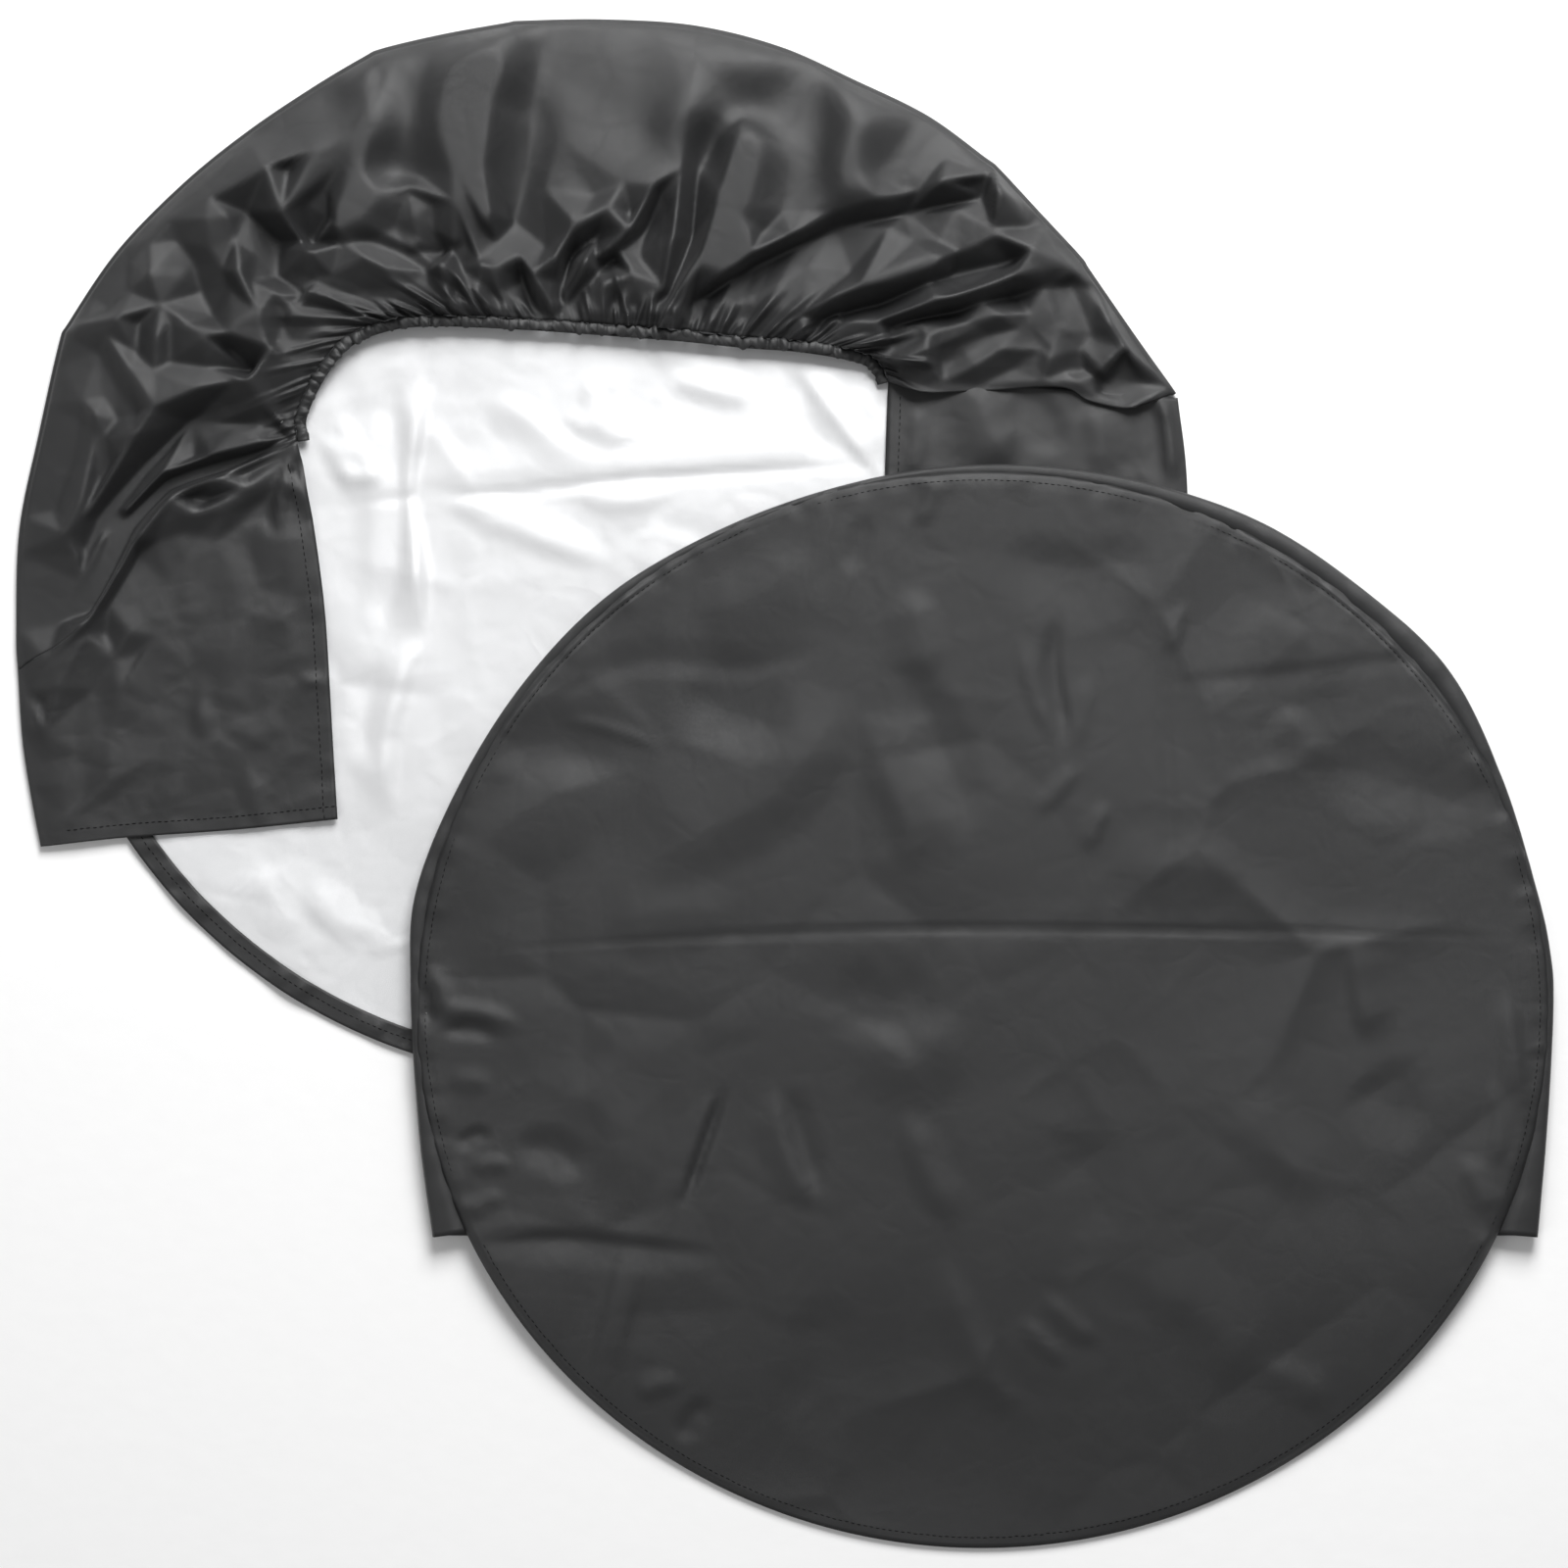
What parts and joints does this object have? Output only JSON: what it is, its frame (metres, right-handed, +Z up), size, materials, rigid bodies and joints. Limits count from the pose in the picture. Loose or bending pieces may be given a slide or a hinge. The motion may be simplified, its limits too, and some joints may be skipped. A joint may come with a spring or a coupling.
{
  "type": "wheel cover set",
  "caption": "Soft round caravan wheel covers of coated cloth, with a folded side band gathered by elastic, lying one on the other.",
  "frame": {"origin": "on the floor, under the middle of the set's box", "axes": "+Z up from the floor; +Y towards the lower cover's crown; +X to the upper cover's side"},
  "size_m": [1.0061, 0.9999, 0.022],
  "materials": {
    "outer_black": "plain-woven coated polyester, matte black with a slight sheen",
    "silver_coating": "silver-grey coating on the inside of the cloth, satin",
    "thread": "black polyester sewing thread",
    "elastic": "black woven elastic band"
  },
  "bodies": {
    "lower_cover": {"lower_band_fold": "outer_black", "lower_band_underlay": "outer_black", "lower_casing": "outer_black", "lower_crown": "outer_black", "lower_elastic": "elastic", "lower_front_panel": "silver_coating", "lower_hem_stitches": "thread", "lower_left_flap": "outer_black", "lower_left_shoulder": "outer_black", "lower_panel_hem": "outer_black", "lower_right_flap": "outer_black", "lower_right_flap_end_hem": "outer_black", "lower_right_flap_end_stitches": "thread", "lower_right_flap_side_hem": "outer_black", "lower_right_flap_side_stitches": "thread", "lower_right_shoulder": "outer_black", "lower_seam_allowance": "silver_coating", "lower_seam_stitches": "thread", "lower_topstitching": "thread"},
    "flap_corner": {"lower_left_flap_corner": "outer_black", "lower_left_flap_end_hem": "outer_black", "lower_left_flap_end_stitches": "thread", "lower_left_flap_side_hem": "outer_black", "lower_left_flap_side_stitches": "thread"},
    "upper_cover": {"upper_band_fold": "outer_black", "upper_band_underlay": "outer_black", "upper_casing": "outer_black", "upper_crown": "outer_black", "upper_elastic": "elastic", "upper_front_panel": "outer_black", "upper_left_flap": "outer_black", "upper_left_flap_end_hem": "outer_black", "upper_left_flap_end_stitches": "thread", "upper_left_flap_side_hem": "outer_black", "upper_left_flap_side_stitches": "thread", "upper_left_shoulder": "outer_black", "upper_right_flap": "outer_black", "upper_right_flap_end_hem": "outer_black", "upper_right_flap_end_stitches": "thread", "upper_right_flap_side_hem": "outer_black", "upper_right_flap_side_stitches": "thread", "upper_right_shoulder": "outer_black", "upper_seam_allowance": "silver_coating", "upper_seam_stitches": "thread", "upper_topstitching": "thread"},
    "upper_skirt": {"upper_front_skirt": "outer_black", "upper_hem_stitches": "thread", "upper_panel_hem": "outer_black"}
  },
  "joints": [
    {"name": "flap_corner_turn", "type": "hinge", "parent": "lower_cover", "child": "flap_corner", "pos_m": [-0.401, 0.0906, 0.0064], "axis": [-0.5398, -0.8418, 0], "range_deg": [0, 170]},
    {"name": "upper_cover_lift", "type": "slide", "parent": "lower_cover", "child": "upper_cover", "axis": [0, 0, 1], "range_m": [0, 0.4]},
    {"name": "skirt_turn", "type": "hinge", "parent": "upper_cover", "child": "upper_skirt", "pos_m": [0.129, -0.2966, 0.0159], "axis": [-1, 0, 0], "range_deg": [0, 150]}
  ]
}
